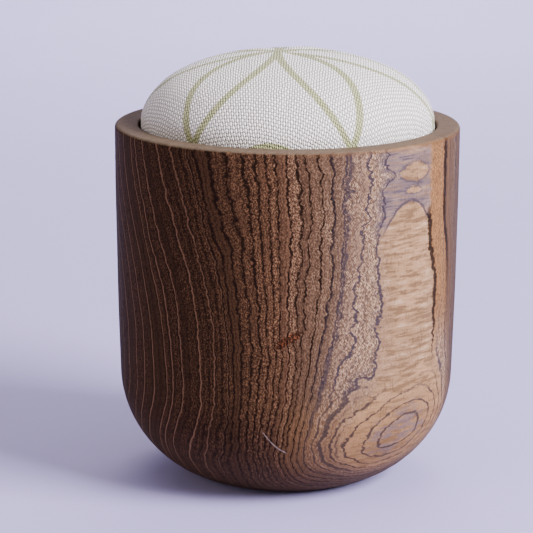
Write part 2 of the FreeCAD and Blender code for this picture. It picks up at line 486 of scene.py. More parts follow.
# Marks on the front, by x and z
KNOT_MARK = (0.6, 41.4)
KNOT_MARK_SIZE = (3.6, 1.1)
KNOT_MARK_TILT = math.radians(37)
RESIN_DARK, RESIN_RED = (0.010, 0.003, 0.002), (0.15, 0.042, 0.017)
SCRATCH_START = (-5.2, 20.0)
SCRATCH_LENGTH = 5.6
SCRATCH_SLOPE, SCRATCH_CURVE = 1.59, 0.109
SCRATCHED_WOOD = (0.36, 0.30, 0.28)


def ring_field(g, p):
    """The age of the wood at a point: equal along each growth ring, in millimetres across them.

    The second value is the same for the colour, which follows the lines less round the knot.
    The third is how steeply the rings meet the outside.
    """
    x, y, z = g.split(p)
    across = x * math.cos(RING_TURN) - y * math.sin(RING_TURN)
    along = x * math.cos(RING_TURN) + y * math.sin(RING_TURN)

    def swelling(along_centre, height, half_width, half_height, size, tilt_deg=0.0):
        a, b = turned(along - along_centre, z - height, math.radians(tilt_deg))
        a, b = a / half_width, b / half_height
        return g.math("EXPONENT", (a * a + b * b) * -1.0) * size

    lean = g.step(z, 36, 86) * g.step(across, -8, 34, 13.0, 0.0)
    splay = g.step(z, 27, 8) * g.step(across, 0, 22, 7.0, 2.1)
    knot = swelling(-1, 14.8, 16, 10, 7.0, 28) + swelling(0, 33, 10, 9, -0.9) + swelling(-16, 34, 10, 16, 2.0)
    crown_ripple = g.noise(g.stretched(p, 0.24, 0.24, 1), 0.30, 2) - 0.40
    crown = swelling(2, 88, 14, 13, -0.6) - crown_ripple * swelling(-6, 76, 10, 9, 3.5)
    slow = (g.noise(g.stretched(p, 1, 1, 0.45), 0.07, 2) - 0.5) * 3.0
    rough = g.step(across + lean, -8, 16, 0.30, 1.0) * g.step(across, 35, 39.5, 1.0, 0.5)
    ripple = (g.noise(g.stretched(p, 0.42, 0.42, 1), 0.27, 3, 0.6) - 0.5) * 2.0
    crinkle = (g.noise(g.stretched(p, 0.35, 0.35, 1), 1.0, 3, 0.6) - 0.5) * 0.75
    sweep = swelling(-20, 13, 9, 15, 4.6)
    field = across + lean + splay + knot + sweep + crown + slow + (ripple + crinkle) * rough
    graze = g.math("SQRT", along * along / (x * x + y * y + 1.0) + g.step(z, 16, 32, 0.5, 0.16))
    return field, field - sweep * 0.8, graze


class Wood(Graph):
    """The cup's wood, with the values at each point that its colours are mixed by."""

    def __init__(self):
        super().__init__("striped_hardwood")
        self.p = p = self.place()
        self.x, self.y, self.z = x, y, z = self.split(p)
        self.field, self.age, self.graze = ring_field(self, p)
        self.along = (x + y) * math.sqrt(0.5)
        self.pale = self.step(self.age, 38.2, 39.1)  # 1 in the pale wood
        self.wall = self.step(z, 24, 32)  # 1 above the round into the foot
        self.tone = self.ramp(self.age, HEARTWOOD)
        self.black = self.mix(0.70, self.tone, BLACK_LINE)
        self.fibre = self.noise(self.stretched(p, 1, 1, 0.06), 1.1, 3, 0.65)
        self.pores = self.step(self.noise(self.stretched(p, 1, 1, 0.22), 2.4, 1), 0.60, 0.70)
        slant = z * 0.45
        self.rising = self.noise(self.vector(x + slant, y + slant, z * 0.32), 4.3, 1)
        falling = self.noise(self.vector(x - slant, y - slant, z * 0.32 + 7.0), 4.3, 1)
        self.bright_fleck = self.step(self.math("MAXIMUM", self.rising, falling), 0.54, 0.64)
        self.dark_fleck = self.step(self.math("MINIMUM", self.rising, falling), 0.47, 0.37)
        self.jag = (self.noise(self.stretched(p, 1, 1, 0.8), 1.6, 2, 0.6) - 0.5) * 0.5
        self.ink, self.ink_band = line_family(self, INK)
        self.thin, self.thin_band = line_family(self, THIN)


def line_family(g, family, shift=0.0):
    """Thin lines at uneven distances, and a value per band between them."""
    spacing, half_width, offset, raggedness = family
    w = (g.field + shift) / spacing + offset
    edge = g.bands(w, "DISTANCE_TO_EDGE", "Distance")
    shade = g.node("ShaderNodeSeparateColor", {0: g.bands(w, "F1", "Color")}, 0)
    distance = edge * spacing / g.graze + g.jag * raggedness
    return g.step(distance, half_width * 0.45, half_width * 1.15, 1.0, 0.0), shade


def wood_material():
    """Hardwood that is solid through and through: each face of the cup cuts the same rings."""
    g = Wood()
    colour = knot_colour(g, ground_colour(g))
    colour, beyond = pale_zone_end(g, colour)
    colour, ink = lines_over(g, colour, beyond)
    colour = g.mix(g.pores * g.step(g.field, 0, 34, 0.6, 0.4), colour, g.mix(0.7, colour, BLACK_LINE))
    colour = rim_and_foot(g, marks(g, colour))
    roughness = 0.50 + g.rising * 0.10 + g.pores * 0.15
    height = g.fibre * 0.25 + g.bright_fleck * 0.15 - g.pores * 0.7 - ink * 0.2
    return g.finish(colour, roughness, height, 0.03 * MM, Specular_IOR_Level=0.03,
                    Specular_Tint=GLOSS_TINT)


def ground_colour(g):
    """The flecked wood between the lines, with darker and lighter streaks across the pale part."""
    _, wide_band = line_family(g, WIDE)
    flecks = g.ramp(g.age, FLECKS)
    patch = g.noise(g.stretched(g.p, 1, 1, 0.4), 0.22, 2)
    wash = g.noise(g.stretched(g.p, 0.15, 0.15, 1), 1.0, 4, 0.7)
    speckled = g.step(g.ink_band + (patch - 0.5) * 0.9, 0.30, 0.55, 0.40, 1.0) * (1.0 - g.pale * 0.75)
    thin_shade = g.step(g.thin_band, 0.15, 0.9) * 0.5 * (1.0 - g.pale * 0.6)
    colour = g.mix(thin_shade, g.tone, g.black)
    colour = g.mix(g.step(wide_band, 0.4, 0.9) * 0.45 * (1.0 - g.pale), colour, g.black)
    colour = g.mix(g.bright_fleck * speckled * 0.85, colour, flecks)
    colour = g.mix(g.dark_fleck * speckled * 0.8, colour, g.black)
    colour = g.mix(g.step(wash, 0.52, 0.42) * g.pale * 0.9, colour, g.mix(0.55, g.tone, BLACK_LINE))
    return g.mix(g.step(wash, 0.55, 0.68) * g.pale * g.wall * 0.6, colour, flecks)


def knot_colour(g, colour):
    """Warmer wood round the knot, smoky wisps in its heart, and darker wood left of it."""
    low_down = g.step(g.z, 30, 18) * g.step(g.z, 2, 12)
    colour = g.mix(low_down * g.step(g.field, 26, 32) * 0.33, colour, KNOT_WOOD)
    left = g.step(g.z, 42, 26) * g.step(g.field, 22, 27) * g.step(g.age, 38.5, 36.0)
    colour = g.mix(left * 0.22, colour, g.black)
    wisps = g.step(g.noise(g.stretched(g.p, 0.25, 0.25, 1), 0.8, 3, 0.65), 0.44, 0.58)
    return g.mix(wisps * g.step(g.age, 40.8, 44.0) * low_down * 0.62, colour, SMOKY_WOOD)


def lines_over(g, colour, beyond):
    """Tan lines with a black edge on the dark wood, and black to navy lines on the rest."""
    field, age = g.field, g.age
    tan, _ = line_family(g, TAN)
    tan_edge, _ = line_family(g, TAN_EDGE, TAN_EDGE_SHIFT)
    bold, _ = line_family(g, BOLD)
    line_tone = g.mix(g.step(field, 32, 37), BLACK_LINE, g.mix(g.wall, SOFT_LINE, NAVY_LINE))
    broken = g.step(g.noise(g.stretched(g.p, 1, 1, 0.7), 0.9, 2), 0.34, 0.46, 0.6, 1.0)
    colour = g.mix(g.thin * broken * 0.5 * g.step(field, 2, 14) * (1.0 - g.pale), colour, line_tone)
    bold = bold * broken * g.step(age, 31.5, 33.5) * g.step(age, 38.0, 37.2) * (1.0 - beyond)
    colour = g.mix(bold * g.step(g.along, 10, 4) * 0.85, colour, line_tone)
    tan_strength = g.step(g.fibre, 0.30, 0.46, 0.6, 1.0) * g.step(field, 21, 10)
    tan_strength = tan_strength * g.step(g.graze, 0.66, 0.92, 1.0, 0.7)
    colour = g.mix(tan_edge * g.step(field, 18, 4) * 0.85, colour, BLACK_LINE)
    colour = g.mix(tan * tan_strength * 0.95, colour, TAN_LINE)
    ink = g.ink * (1.0 - g.step(age, 38.9, 39.3) * g.wall) * (1.0 - beyond)
    return g.mix(ink * broken * g.step(field, 4, 19, 0.22, 0.95), colour, line_tone), ink


def rim_and_foot(g, colour):
    """A greyer flat rim over a warm edge, and a painted reflection of the table that lightens the wood
    towards the foot.
    """
    below_rim = RIM_HEIGHT / MM - g.z
    shade = g.step(g.fibre, 0.35, 0.65) * 0.3 + g.step(g.field, 30, 42) * 0.50
    colour = g.mix(g.step(below_rim, 1.2, 0.7) * g.step(g.field, 26, 36) * 0.45, colour, ORANGE_WOOD)
    # Painted reflection: the wood is lightened towards the foot, as if lit by the table below
    colour = g.mix(g.step(g.z, 20, 3) * 0.09, colour, FOOT_REFLECTION_TINT)
    return g.mix(g.step(below_rim, 0.5, 0.15) * 0.76, colour, g.mix(shade, RIM_WOOD, g.black))


def pale_zone_end(g, colour):
    """The pale wood's right border, the orange wood past it, and the smoky wood above it."""
    z, along = g.z, g.along
    crinkle = (g.noise(g.stretched(g.p, 0.4, 0.4, 1), 0.40, 4, 0.7) - 0.5) * 4.5
    ragged = (g.noise(g.stretched(g.p, 0.6, 0.6, 1), 1.3, 3, 0.65) - 0.5) * 1.8
    side = along + crinkle + ragged * 0.5 - g.step(z, 66, 48, PALE_BORDER_HIGH, PALE_BORDER_LOW)
    outer = along + crinkle * 0.3 + ragged * 0.75 - g.step(z, 68, 52, OUTER_LINE_HIGH, OUTER_LINE_LOW)
    front = g.step(g.field, 24, 34)
    above_knot = g.step(z + crinkle * 2.0, 30, 47)
    beyond = g.step(side, -0.6, 1.2) * g.step(outer, 6.5, 1.5) * front * above_knot
    colour = smoke_over_arch(g, colour, crinkle, ragged, beyond)

    orange = g.mix(g.bright_fleck * g.step(outer, 0.5, -0.5) * 0.62, ORANGE_WOOD, BRIGHT_ORANGE)
    colour = g.mix(beyond * 0.90, colour, orange)
    stripe = g.step(g.bands(outer / 1.3, "DISTANCE_TO_EDGE", "Distance", 1.0), 0.34, 0.05, 0.30, 0.85)
    colour = g.mix(beyond * g.step(outer, 0.2, 1.0) * stripe, colour, g.black)
    colour = g.mix(g.step(outer, 0.5, 4.0) * front * 0.62, colour, g.black)
    thinner = above_knot + 0.01
    border_line = g.step(abs(side) / thinner, 1.05, 0.50) * g.step(z, 70, 66)
    outer_line = g.step(abs(outer) / thinner, 0.95, 0.50) * g.step(z, 44, 60, 0.4, 1.0)
    lines = g.math("MAXIMUM", border_line, outer_line) * front
    return g.mix(lines * 0.92, colour, BLACK_LINE), beyond


def smoke_over_arch(g, colour, crinkle, ragged, beyond):
    """Smoky wood with two pale eyes, between the pale zone's arched top and the rim."""
    z, along = g.z, g.along
    left_fall = g.math("MINIMUM", along - ARCH_MIDDLE, 0.0) * 0.36
    right_fall = g.math("MAXIMUM", along - ARCH_MIDDLE, 0.0) * 0.33
    over = z + left_fall * left_fall + right_fall * right_fall + crinkle * 0.5 + ragged * 0.7 - ARCH_TOP
    room = g.step(over, -0.1, 0.4) * g.step(g.field, 37.4, 38.6) * g.step(z, 83, 81.5) * g.step(z, 62, 67)
    room = room * (1.0 - beyond)
    streak = g.noise(g.stretched(g.p, 0.14, 0.14, 1), 1.1, 4, 0.7)
    swayed = z + (crinkle * 0.45 + ragged * 0.8)
    large = eye_shape(g, along, swayed, LARGE_EYE)
    small = eye_shape(g, along, swayed, SMALL_EYE)
    eye = g.math("MAXIMUM", g.step(large, 1.2, 0.8), g.step(small, 1.3, 0.7))
    smoke = room * (1.0 - eye) * g.step(streak, 0.36, 0.60, 0.35, 1.0)
    colour = g.mix(smoke * 0.85, colour, SMOKY_WOOD)
    eyelid = g.step(abs(g.math("MINIMUM", large, small) - 1.15), 0.30, 0.05)
    arch_line = room * g.step(over, 1.3, 0.6)
    navy = g.math("MAXIMUM", room * eyelid * g.step(streak, 0.35, 0.55, 0.2, 0.8), arch_line)
    navy = g.math("MAXIMUM", navy, smoke * g.step(streak, 0.52, 0.62) * 0.7)
    return g.mix(navy * 0.8, colour, NAVY_LINE)


def eye_shape(g, along, height, eye):
    """Under 1 inside a lens with pointed ends."""
    centre, middle, half_width, half_height = eye
    across = (along - centre) / half_width
    up = abs((height - middle) / half_height)
    return across * across + g.math("POWER", up, 1.3)


def marks(g, colour):
    """A small dark knot at the front, and a light scratch below it."""
    front = g.step(g.y, 0, -10)
    length, width = turned(g.x - KNOT_MARK[0], g.z - KNOT_MARK[1], KNOT_MARK_TILT)
    ragged = (g.noise(g.p, 1.3, 3, 0.65) - 0.5) * 3.2
    length, width = length / KNOT_MARK_SIZE[0], (width + ragged) / KNOT_MARK_SIZE[1]
    inside = g.step(length * length + width * width, 1.3, 0.6) * front
    resin = g.mix(g.step(g.rising, 0.55, 0.66), RESIN_DARK, RESIN_RED)
    colour = g.mix(inside * 0.8, colour, resin)
    run = g.x - SCRATCH_START[0]
    drop = g.z - SCRATCH_START[1] + run * SCRATCH_SLOPE - run * run * SCRATCH_CURVE
    scratch = g.step(abs(drop), 0.24, 0.07) * g.step(run, -0.1, 0.3) * front
    scratch = scratch * g.step(run, SCRATCH_LENGTH, SCRATCH_LENGTH - 0.6)
    scratch = scratch * g.step(g.rising, 0.35, 0.55, 0.3, 1.0)
    return g.mix(scratch * 0.6, colour, SCRATCHED_WOOD)


# The print, in the cloth's own flat coordinates and millimetres
WARP_PER_MM = (1.65, -0.05)
WEFT_PER_MM = (0.35, 1.19)
PETAL_LENGTH = 42.4
PETAL_NODE = (-2.16, -1.69)
PRINT_TURN = math.radians(6.7)
PRINT_STRETCH = (1.049, 0.953)
PRINT_SKEW = 0.057
PRINT_LINE = 1.85
RING_MOTIF_RADIUS = 17.6
RING_MOTIF_DISTANCE = 59.5
CLOTH_ATTRIBUTE = "flat_cloth"

# The bare and the printed cloth: painted shade in the hollows between threads, raised threads, and what they
# vary towards (for the linen, painted shade on the lower weft floats)
LINEN_HOLLOW_SHADE, LINEN_RAISED, LINEN_WEFT_SHADE = (0.085, 0.070, 0.062), (1.0, 0.95, 0.945), (0.40, 0.365, 0.35)
PRINT_HOLLOW_SHADE, PRINT_RAISED, PRINT_WORN = (0.060, 0.068, 0.022), (0.40, 0.395, 0.215), (0.30, 0.30, 0.16)


def off_circles(g, here, radius, distance, first_angle):
    """How far a point is from the nearest of six circles that stand round the node."""
    nearest = distance
    for index in range(6):
        angle = first_angle + math.pi / 3 * index
        centre = around(distance, angle, 0)
        to_centre = g.node("ShaderNodeVectorMath", {0: here, 1: centre}, "Value", operation="DISTANCE")
        nearest = g.math("MINIMUM", nearest, abs(to_centre - radius))
    return nearest


def petal_print(g, u, v):
    """1 on the printed lines: six petals round a node, and rings beyond their tips."""
    dv = v - PETAL_NODE[1]
    du = u - PETAL_NODE[0] + dv * PRINT_SKEW
    a, b = turned(du, dv, -PRINT_TURN)
    here = g.vector(a / PRINT_STRETCH[0], b / PRINT_STRETCH[1])
    reach = g.node("ShaderNodeVectorMath", {0: here}, "Value", operation="LENGTH")
    petals = off_circles(g, here, PETAL_LENGTH, PETAL_LENGTH, 0)
    rings = off_circles(g, here, RING_MOTIF_RADIUS, RING_MOTIF_DISTANCE, math.pi / 6)
    wobble = (g.noise(g.vector(u, v), 1.7, 2) - 0.5) * 0.35
    half = PRINT_LINE / 2
    on_petal = g.step(petals + wobble, half + 0.12, half - 0.12)
    on_petal = on_petal * g.step(reach, PETAL_LENGTH, PETAL_LENGTH + 0.6, 1, 0)
    on_ring = g.step(rings + wobble, half + 0.12, half - 0.12)
    return g.math("MAXIMUM", on_petal, on_ring)


def threads(g, own, crossing, phase, rise, least):
    """Height and shade of one direction's threads, which go over and under the crossing ones in turn."""
    index = g.math("FLOOR", own)
    section = g.math("POWER", g.math("SINE", g.math("FRACT", own) * math.pi), 0.7)
    wave = g.math("SINE", (crossing + index + phase) * math.pi) * 0.5 + 0.5
    shade = g.node("ShaderNodeTexWhiteNoise", {"W": index + phase * 0.5}, noise_dimensions="1D")
    return section * (wave * rise + least), shade


def plain_weave(g, u, v):
    """Height of a plain weave from 0 to 1, a shade per thread, and 1 where the warp is on top."""
    a = u * WARP_PER_MM[0] + v * WARP_PER_MM[1] + (g.noise(g.vector(u, v), 0.30, 2) - 0.5) * 1.1
    b = u * WEFT_PER_MM[0] + v * WEFT_PER_MM[1] + (g.noise(g.vector(v, u, 9.0), 0.30, 2) - 0.5) * 1.1
    warp, warp_shade = threads(g, a, b, 0.0, 0.85, 0.15)
    weft, weft_shade = threads(g, b, a, 1.0, 0.62, 0.10)
    over = g.math("GREATER_THAN", warp, weft)
    return g.math("MAXIMUM", warp, weft), warp_shade * over + weft_shade * (1.0 - over), over


def linen_material():
    g = Graph("printed_linen")
    flat = g.node("ShaderNodeAttribute", {}, "Vector", attribute_name=CLOTH_ATTRIBUTE)
    flat = g.node("ShaderNodeVectorMath", {0: flat, "Scale": 1000}, operation="SCALE")
    u, v, _ = g.split(flat)
    height, shade, over = plain_weave(g, u, v)
    ink = petal_print(g, u, v)
    fuzz = g.noise(flat, 5.0, 2)
    # 0 in the hollows between threads and 1 on their raised tops: painted shade that darkens the hollows
    painted_light = g.step(height, 0.28, 0.80)
    base = g.mix(painted_light, LINEN_HOLLOW_SHADE, LINEN_RAISED)
    # Painted shade: the weft floats, which lie lower, are darkened, along with a little random tone per
    # thread
    base = g.mix((1.0 - over) * 0.60 + shade * 0.10, base, LINEN_WEFT_SHADE)
    # The print gets the same painted shade in its hollows
    green = g.mix(painted_light, PRINT_HOLLOW_SHADE, PRINT_RAISED)
    green = g.mix(shade * 0.35, green, PRINT_WORN)
    cover = g.step(height + fuzz * 0.5, 0.25, 0.55, 0.85, 1.0)
    colour = g.mix(ink * cover, base, green)
    return g.finish(colour, 0.80 + fuzz * 0.1, height + fuzz * 0.15, 0.34 * MM, Sheen_Weight=0.12,
                    Sheen_Roughness=0.5, Specular_IOR_Level=0.3)


def felt_material(name, dark, light):
    """Pressed wool: fibres at every angle, with a few pale ones."""
    g = Graph(name)
    p = g.place()
    clump = g.noise(p, 0.55, 4, 0.6)
    fibre = g.noise(g.stretched(p, 1, 0.25, 1), 5.0, 3, 0.6)
    cross = g.noise(g.stretched(p, 0.25, 1, 1), 5.0, 3, 0.6)
    hair = g.math("MAXIMUM", fibre, cross)
    colour = g.mix(g.step(hair, 0.45, 0.75), dark, light)
    colour = g.mix((clump - 0.5) * 0.6 + 0.2, colour, dark)
    return g.finish(colour, 0.93, hair + clump * 0.6, 0.2 * MM, Sheen_Weight=0.35, Sheen_Roughness=0.6,
                    Specular_IOR_Level=0.15)


PLY_THICKNESS = 1.35


def plywood_material():
    """Thin plies: face grain along X on the flats, and bands of long and end grain on the edge."""
    g = Graph("birch_plywood")
    p = g.place()
    _, _, z = g.split(p)
    grain = g.noise(g.stretched(p, 0.08, 1, 1), 1.4, 4, 0.6)
    end = g.noise(p, 3.0, 2)
    ply = g.math("FRACT", z / PLY_THICKNESS)
    off_middle = abs(ply - 0.5)
    odd = g.step(off_middle, 0.22, 0.28)
    glue = g.step(abs(off_middle - 0.25), 0.03, 0.0)
    face = g.mix(grain, (0.50, 0.34, 0.19), (0.72, 0.55, 0.36))
    colour = g.mix(odd * 0.6, face, g.mix(end, (0.34, 0.21, 0.11), (0.52, 0.36, 0.21)))
    colour = g.mix(glue * 0.7, colour, (0.16, 0.085, 0.045))
    return g.finish(colour, 0.62 + grain * 0.15, grain + end * 0.3, 0.06 * MM, Specular_IOR_Level=0.3)


def fibre_material(name, dark, light, scale):
    """Loose fibre in tufts."""
    g = Graph(name)
    p = g.place()
    swirl = g.noise(p, scale * 0.25, 3)
    strand = g.noise(g.stretched(p, 1, 0.3, 1), scale, 4, 0.65)
    other = g.noise(g.stretched(p, 0.3, 1, 1.4), scale, 4, 0.65)
    hair = g.math("MAXIMUM", strand, other)
    colour = g.mix(hair * 0.7 + swirl * 0.3, dark, light)
    return g.finish(colour, 0.95, hair + swirl, 0.35 * MM, Sheen_Weight=0.3, Specular_IOR_Level=0.1)


def thread_material():
    g = Graph("linen_thread")
    p = g.place()
    lay = g.noise(p, 4.0, 3)
    colour = g.mix(lay, (0.46, 0.42, 0.33), (0.78, 0.74, 0.64))
    return g.finish(colour, 0.6, lay, 0.05 * MM, Sheen_Weight=0.15)


# ---- the cup

CUP_SEGMENTS = 288
DISC_SEGMENTS = 200
FIBRE_SEGMENTS = 160
FOOT_WOOL = ((0.018, 0.024, 0.015), (0.075, 0.09, 0.055))
BACKING_WOOL = ((0.050, 0.062, 0.028), (0.16, 0.185, 0.095))


def cup_section():
    """The cup's half section, from the middle of its underside round to the middle of its well."""
    upright = RIM_HEIGHT - RIM_EDGE
    bow_centre = RIM_RADIUS - WALL_BOW
    corner_r = bow_centre + math.sqrt((WALL_BOW - CORNER_RADIUS) ** 2 - (upright - CORNER_HEIGHT) ** 2)
    foot_z = CUP_LOW.z
    foot_angle = math.degrees(math.asin((CORNER_HEIGHT - foot_z) / CORNER_RADIUS))
    join_angle = math.degrees(math.asin((upright - CORNER_HEIGHT) / (WALL_BOW - CORNER_RADIUS)))
    section = [(0, FOOT_HIGH.z), (FOOT_RECESS, FOOT_HIGH.z)]
    section += arc(FOOT_RECESS + 0.25 * MM, foot_z + 0.25 * MM, 0.25 * MM, 180, 270, 3)
    section += arc(corner_r, CORNER_HEIGHT, CORNER_RADIUS, -foot_angle, -join_angle, 40)
    section += arc(bow_centre, upright, WALL_BOW, -join_angle, 0, 40)[1:]
    section += arc(RIM_RADIUS - RIM_EDGE, upright, RIM_EDGE, 0, 90, 8)[1:]
    section += arc(MOUTH_RADIUS + MOUTH_EDGE, RIM_HEIGHT - MOUTH_EDGE, MOUTH_EDGE, 90, 180, 6)
    section += [(MOUTH_RADIUS, SEAT_HEIGHT), (WELL_RADIUS + WELL_LIP, SEAT_HEIGHT)]
    section += arc(WELL_RADIUS + WELL_LIP, SEAT_HEIGHT - WELL_LIP, WELL_LIP, 90, 180, 4)[1:]
    section += arc(WELL_RADIUS - WELL_CORNER, WELL_FLOOR + WELL_CORNER, WELL_CORNER, 0, -90, 14)
    section.append((0, WELL_FLOOR))
    return divided(section, 1.6 * MM)


def cup_wear(point, outward):
    """Hand sanding takes a hair off here and there, and the gouge leaves faint rings inside."""
    reach = math.hypot(point.x, point.y)
    sanding = noise.noise(point * 60) * 0.06 * MM
    inside = reach < WELL_RADIUS + WELL_LIP and point.z > FOOT_HIGH.z
    gouge = math.sin((point.z + reach) / MM * 4.2) * 0.03 * MM
    return point + outward * (sanding + (gouge if inside else 0))


def make_cup():
    cup = lathe("cup", cup_section(), CUP_SEGMENTS, cup_wear, wood_material())
    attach(cup, "cup")
    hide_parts("turned_cup")


def felt_disc(name, radius, low, high, material, dish=None):
    """A die cut disc of felt with a soft, slightly hairy edge. dish(radius) lifts its middle."""
    section = disc_section(radius, low, high, min(0.35 * MM, (high - low) * 0.4))

    def soften(point, outward):
        lift = dish(math.hypot(point.x, point.y)) if dish else 0.0
        rough = noise.noise(point * 900) * 0.05 * MM + noise.noise(point * 250) * 0.05 * MM
        moved = point + Vector((0, 0, lift)) + outward * (rough - 0.05 * MM)
        moved.z = max(moved.z, low)
        return moved

    return lathe(name, divided(section, 0.7 * MM), DISC_SEGMENTS, soften, material)


def make_foot():
    wool = felt_material("foot_wool", *FOOT_WOOL)
    foot = felt_disc("foot_pad", FOOT_HIGH.x, FOOT_LOW.z, FOOT_HIGH.z, wool)
    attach(foot, "cup")
    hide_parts("foot_felt")


# ---- the cushion

CLOTH_RINGS = 54
DOME_STEPS = 90
PLEATS = 44
PUCKERS = 82
FOLD_DEPTH = 1.2 * MM
SIM_SCALE = 30.0
SIM_FRAMES = 20
SIM_EASE = 0.035
SIM_CAP = 0.30 * MM
CLOTH_SETTINGS = {
    "quality": 6, "mass": 0.3, "use_pressure": True, "uniform_pressure_force": 2.5,
    "tension_stiffness": 15, "compression_stiffness": 15, "bending_stiffness": 0.6,
}
BORE_ROOM = 0.35 * MM
FIBRE_STEP = 1.3 * MM
WOOL_FIBRE = ((0.42, 0.38, 0.30), (0.80, 0.76, 0.66), 2.2)
COTTON_FIBRE = ((0.60, 0.59, 0.56), (0.90, 0.89, 0.87), 3.0)
PUCKER_MIDDLE_DEG = 325
PUCKER_SPREAD_DEG = 26
RING_STEPS = 1400
KNOT_STEPS = 96
TAIL_STEPS = 24
TWIST = 1.6 * MM
TAILS = [(-1, 5.0), (1, 4.4)]  # the side that each lies to, and its length in millimetres


def cover_line():
    """The cover's outer line from the top to its gathered edge, as (radius, height)."""
    line = quarter_oval(COVER_RADIUS, COVER_HIGH.z, DOME_STEPS)
    narrowing, fall = COVER_RADIUS - NECK_RADIUS, WIDEST_HEIGHT - NECK_HEIGHT
    bend = (narrowing**2 + fall**2) / (2 * narrowing)
    end = math.degrees(math.asin(fall / bend))
    line += arc(COVER_RADIUS - bend, WIDEST_HEIGHT, bend, 0, -end, 8)[1:]
    line += arc(NECK_RADIUS - TURN_RADIUS, COVER_UNDERSIDE + TURN_RADIUS, TURN_RADIUS, 0, -90, 8)
    line.append((GATHER_START, COVER_UNDERSIDE))
    line.append((COVER_HEM, COVER_UNDERSIDE - GATHER_DROP))
    return line


def travelled(line):
    """How far along a line each of its points is."""
    lengths = [0.0]
    for a, b in zip(line, line[1:]):
        lengths.append(lengths[-1] + math.dist(a, b))
    return lengths


class Path:
    """A line that can be read by its length."""

    def __init__(self, line):
        self.line = divided(line, 0.4 * MM)
        self.lengths = travelled(self.line)

    def at(self, length):
        high = min(bisect.bisect_right(self.lengths, length), len(self.lengths) - 1)
        low = high - 1
        share = (length - self.lengths[low]) / (self.lengths[high] - self.lengths[low])
        (r0, z0), (r1, z1) = self.line[low], self.line[high]
        return r0 + (r1 - r0) * share, z0 + (z1 - z0) * share


def disc_grid(rings):
    """A square grid drawn out to a disc: points as (reach 0 to 1, angle), and its faces."""
    side = 2 * rings + 1
    points = []
    for row in range(-rings, rings + 1):
        for column in range(-rings, rings + 1):
            reach = max(abs(row), abs(column))
            if reach == 0:
                angle = 0.0
            elif abs(column) >= abs(row):
                angle = math.pi / 4 * row / column + (math.pi if column < 0 else 0.0)
            else:
                angle = math.pi / 2 - math.pi / 4 * column / row + (math.pi if row < 0 else 0.0)
            points.append((reach / rings, angle))
    starts = [i for i in range(side * (side - 1)) if (i + 1) % side]
    return points, [(i, i + 1, i + side + 1, i + side) for i in starts]


def lumps(angle, height_share):
    """How far the stuffing pushes the dome out of round."""
    return (noise.noise(around(1.1, angle, height_share * 1.5 + 4.0)) * 0.5 - 0.22) * MM


def pleat(angle):
    """Depth of the gathers under the board, from 0 on a crest to 1 in a fold."""
    turn = angle * PLEATS + 1.6 * noise.noise(around(3, angle, 1.0))
    return 0.5 - 0.5 * math.cos(turn)


def cover_points(grid, path, total, dome_length):
    """The cover before the cloth is let go, and its flat place on the bolt."""
    shaped, flat = [], []
    for reach, angle in grid:
        length = reach * total
        r, z = path.at(length)
        under = smooth_step(GATHER_START + 2 * MM, THREAD_RING, r) if z < RIM_HEIGHT - 8 * MM else 0.0
        on_dome = 1 - smooth_step(0.9, 1.02, length / dome_length)
        rise = lumps(angle, reach) * on_dome
        fold = pleat(angle) * under * FOLD_DEPTH
        r += rise * min(1.0, length / dome_length)
        z += rise * (1 - length / dome_length) * on_dome - fold
        shaped.append(around(r, angle, z))
        flat.append(around(length, angle, 0))
    return shaped, flat


def pucker(angle, length, dome_length):
    """Small upright gathers where the cloth turns in over the rim, strongest at the front right."""
    window = smooth_step(0.82, 1.0, length / dome_length) * (1 - smooth_step(1.08, 1.2, length / dome_length))
    near = math.exp(-((math.degrees(angle) % 360 - PUCKER_MIDDLE_DEG) / PUCKER_SPREAD_DEG) ** 2)
    wave = math.sin(angle * PUCKERS + 3 * math.sin(angle * 7))
    return wave * window * (0.03 + 0.32 * near) * MM


def let_go(piece, start, held_points):
    """Lets the cloth settle under the push of the stuffing, held where it passes under the board."""
    basis = piece.shape_key_add(name="Basis")
    eased = piece.shape_key_add(name="eased")
    for index, point in enumerate(start):
        middle = smooth_step(NECK_RADIUS * 0.55, COVER_RADIUS, math.hypot(point.x, point.y))
        factor = SIM_SCALE * (1 + SIM_EASE * middle)
        eased.data[index].co = Vector((point.x * factor, point.y * factor, point.z * SIM_SCALE))
        basis.data[index].co = point * SIM_SCALE
    held = piece.vertex_groups.new(name="held")
    held.add([i for i, is_held in enumerate(held_points) if is_held], 1.0, "REPLACE")
    cloth = piece.modifiers.new("cloth", "CLOTH")
    for name, value in CLOTH_SETTINGS.items():
        setattr(cloth.settings, name, value)
    cloth.settings.vertex_group_mass = "held"
    cloth.settings.rest_shape_key = eased
    cloth.settings.effector_weights.gravity = 0.0
    cloth.point_cache.frame_end = SIM_FRAMES
    for step in range(1, SIM_FRAMES + 1):
        bpy.context.scene.frame_set(step)
    settled = piece.evaluated_get(bpy.context.evaluated_depsgraph_get())
    places = [vertex.co / SIM_SCALE for vertex in settled.to_mesh().vertices]
    settled.to_mesh_clear()
    piece.modifiers.remove(cloth)
    piece.shape_key_clear()
    bpy.context.scene.frame_set(1)
    return places


def kept_close(place, start):
    """The settled point, no further than SIM_CAP from its start, and clear of the cup's mouth."""
    move = place - start
    if move.length > SIM_CAP:
        move = move.normalized() * SIM_CAP
    point = start + move
    if point.z < RIM_HEIGHT + MOUTH_EDGE:
        limit = MOUTH_RADIUS - BORE_ROOM
        reach = math.hypot(point.x, point.y)
        if reach > limit:
            point.x *= limit / reach
            point.y *= limit / reach
        point.z = max(point.z, min(start.z, COVER_UNDERSIDE)) if reach > WELL_RADIUS else point.z
    return point


